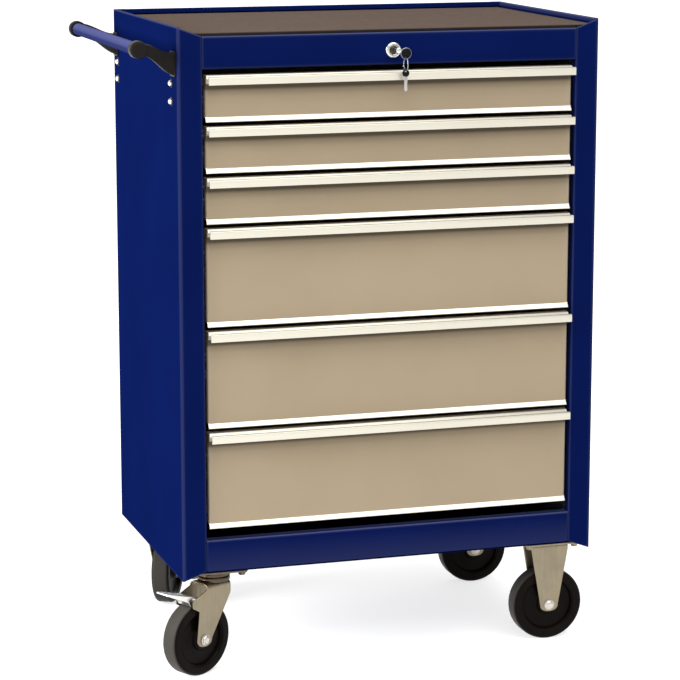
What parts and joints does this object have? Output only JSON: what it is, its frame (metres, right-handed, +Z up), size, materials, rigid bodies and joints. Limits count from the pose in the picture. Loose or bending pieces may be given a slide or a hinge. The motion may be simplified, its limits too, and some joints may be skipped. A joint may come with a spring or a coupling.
{
  "type": "tool cart",
  "caption": "Rolling tool cart: folded steel cabinet with full-width drawer pulls, side push handle, keyed lock, rimmed matted top, fixed and braked swivel castors.",
  "frame": {"origin": "on the floor, under the centre of the cart's bounding box", "axes": "+Z up; the drawers open towards -Y; the push handle is on the -X side"},
  "size_m": [0.747, 0.5283, 1.006],
  "materials": {
    "blue_paint": "gloss",
    "front_paint": "satin",
    "pull_aluminium": "satin",
    "black_plastic": "satin",
    "mat_rubber": "matte",
    "zinc": "satin",
    "slide_zinc": "satin",
    "wheel_black": "matte",
    "chrome": "polished"
  },
  "bodies": {
    "cabinet": {"back_panel": "blue_paint", "base_pan": "blue_paint", "bottom_rail": "blue_paint", "front_handle_bracket": "black_plastic", "front_left_castor_plate": "zinc", "front_right_castor_axle": "zinc", "front_right_castor_bracket": "zinc", "handle_tube": "blue_paint", "left_side_panel": "blue_paint", "left_slide_liner": "slide_zinc", "lock_barrel": "chrome", "rear_handle_bracket": "black_plastic", "rear_left_castor_plate": "zinc", "rear_right_castor_axle": "zinc", "rear_right_castor_bracket": "zinc", "right_side_panel": "blue_paint", "right_slide_liner": "slide_zinc", "top_mat": "mat_rubber", "top_plate": "blue_paint", "top_rail": "blue_paint"},
    "drawer_1": {"drawer_1_tray": "front_paint", "drawer_1_pull": "pull_aluminium", "drawer_1_left_slide": "slide_zinc", "drawer_1_right_slide": "slide_zinc"},
    "drawer_2": {"drawer_2_tray": "front_paint", "drawer_2_pull": "pull_aluminium", "drawer_2_left_slide": "slide_zinc", "drawer_2_right_slide": "slide_zinc"},
    "drawer_3": {"drawer_3_tray": "front_paint", "drawer_3_pull": "pull_aluminium", "drawer_3_left_slide": "slide_zinc", "drawer_3_right_slide": "slide_zinc"},
    "drawer_4": {"drawer_4_tray": "front_paint", "drawer_4_pull": "pull_aluminium", "drawer_4_left_slide": "slide_zinc", "drawer_4_right_slide": "slide_zinc"},
    "drawer_5": {"drawer_5_tray": "front_paint", "drawer_5_pull": "pull_aluminium", "drawer_5_left_slide": "slide_zinc", "drawer_5_right_slide": "slide_zinc"},
    "drawer_6": {"drawer_6_tray": "front_paint", "drawer_6_pull": "pull_aluminium", "drawer_6_left_slide": "slide_zinc", "drawer_6_right_slide": "slide_zinc"},
    "front_right_wheel": {"front_right_castor_wheel": "wheel_black"},
    "rear_right_wheel": {"rear_right_castor_wheel": "wheel_black"},
    "front_left_fork": {"front_left_castor_fork": "zinc", "front_left_castor_axle": "zinc"},
    "front_left_wheel": {"front_left_castor_wheel": "wheel_black"},
    "front_left_pedal": {"front_left_castor_pedal": "zinc"},
    "rear_left_fork": {"rear_left_castor_fork": "zinc", "rear_left_castor_axle": "zinc"},
    "rear_left_wheel": {"rear_left_castor_wheel": "wheel_black"},
    "rear_left_pedal": {"rear_left_castor_pedal": "zinc"},
    "lock_plug": {"lock_plug": "chrome", "lock_key": "black_plastic"},
    "key_ring": {"key_ring": "chrome"},
    "spare_key": {"spare_key": "chrome"},
    "lock_rocker": {"lock_rocker": "zinc"},
    "lock_bar": {"lock_bar": "zinc"}
  },
  "joints": [
    {"name": "drawer_1_slide", "type": "slide", "parent": "cabinet", "child": "drawer_1", "axis": [0, -1, 0], "range_m": [0, 0.28]},
    {"name": "drawer_2_slide", "type": "slide", "parent": "cabinet", "child": "drawer_2", "axis": [0, -1, 0], "range_m": [0, 0.28]},
    {"name": "drawer_3_slide", "type": "slide", "parent": "cabinet", "child": "drawer_3", "axis": [0, -1, 0], "range_m": [0, 0.28]},
    {"name": "drawer_4_slide", "type": "slide", "parent": "cabinet", "child": "drawer_4", "axis": [0, -1, 0], "range_m": [0, 0.28]},
    {"name": "drawer_5_slide", "type": "slide", "parent": "cabinet", "child": "drawer_5", "axis": [0, -1, 0], "range_m": [0, 0.28]},
    {"name": "drawer_6_slide", "type": "slide", "parent": "cabinet", "child": "drawer_6", "axis": [0, -1, 0], "range_m": [0, 0.28]},
    {"name": "front_right_wheel_spin", "type": "hinge", "parent": "cabinet", "child": "front_right_wheel", "pos_m": [0.3145, -0.18257, 0.059], "axis": [0, 1, 0], "continuous": true},
    {"name": "rear_right_wheel_spin", "type": "hinge", "parent": "cabinet", "child": "rear_right_wheel", "pos_m": [0.3145, 0.16243, 0.059], "axis": [0, 1, 0], "continuous": true},
    {"name": "front_left_swivel", "type": "hinge", "parent": "cabinet", "child": "front_left_fork", "pos_m": [-0.2415, -0.18257, 0.059], "axis": [0, 0, 1], "continuous": true},
    {"name": "front_left_wheel_spin", "type": "hinge", "parent": "front_left_fork", "child": "front_left_wheel", "pos_m": [-0.27486, -0.20076, 0.059], "axis": [0.4787, -0.878, 0], "continuous": true},
    {"name": "front_left_brake", "type": "hinge", "parent": "front_left_fork", "child": "front_left_pedal", "pos_m": [-0.28715, -0.20746, 0.1239], "axis": [0.4787, -0.878, 0], "range_deg": [0, 6]},
    {"name": "rear_left_swivel", "type": "hinge", "parent": "cabinet", "child": "rear_left_fork", "pos_m": [-0.2415, 0.16243, 0.059], "axis": [0, 0, 1], "continuous": true},
    {"name": "rear_left_wheel_spin", "type": "hinge", "parent": "rear_left_fork", "child": "rear_left_wheel", "pos_m": [-0.22366, 0.19599, 0.059], "axis": [-0.8829, 0.4695, 0], "continuous": true},
    {"name": "rear_left_brake", "type": "hinge", "parent": "rear_left_fork", "child": "rear_left_pedal", "pos_m": [-0.21709, 0.20835, 0.1239], "axis": [-0.8829, 0.4695, 0], "range_deg": [0, 6]},
    {"name": "lock_turn", "type": "hinge", "parent": "cabinet", "child": "lock_plug", "pos_m": [0.0365, -0.22606, 0.9648], "axis": [0, 1, 0], "range_deg": [0, 90]},
    {"name": "key_ring_swing", "type": "hinge", "parent": "lock_plug", "child": "key_ring", "pos_m": [0.0475, -0.25356, 0.9559], "axis": [0, 1, 0], "range_deg": [-95, 60]},
    {"name": "spare_key_swing", "type": "hinge", "parent": "key_ring", "child": "spare_key", "pos_m": [0.0475, -0.25356, 0.9354], "axis": [0, 1, 0], "range_deg": [-60, 60]},
    {"name": "rocker_tilt", "type": "hinge", "parent": "cabinet", "child": "lock_rocker", "pos_m": [0.0365, -0.00941, 0.959], "axis": [1, 0, 0], "range_deg": [0, 3.58]},
    {"name": "bar_lift", "type": "slide", "parent": "cabinet", "child": "lock_bar", "axis": [0, 0, 1], "range_m": [0, 0.012]}
  ],
  "couplings": [
    {"joint": "lock_turn", "follows": "bar_lift", "rad_per_m": 130.9},
    {"joint": "rocker_tilt", "follows": "bar_lift", "rad_per_m": 5.192}
  ]
}
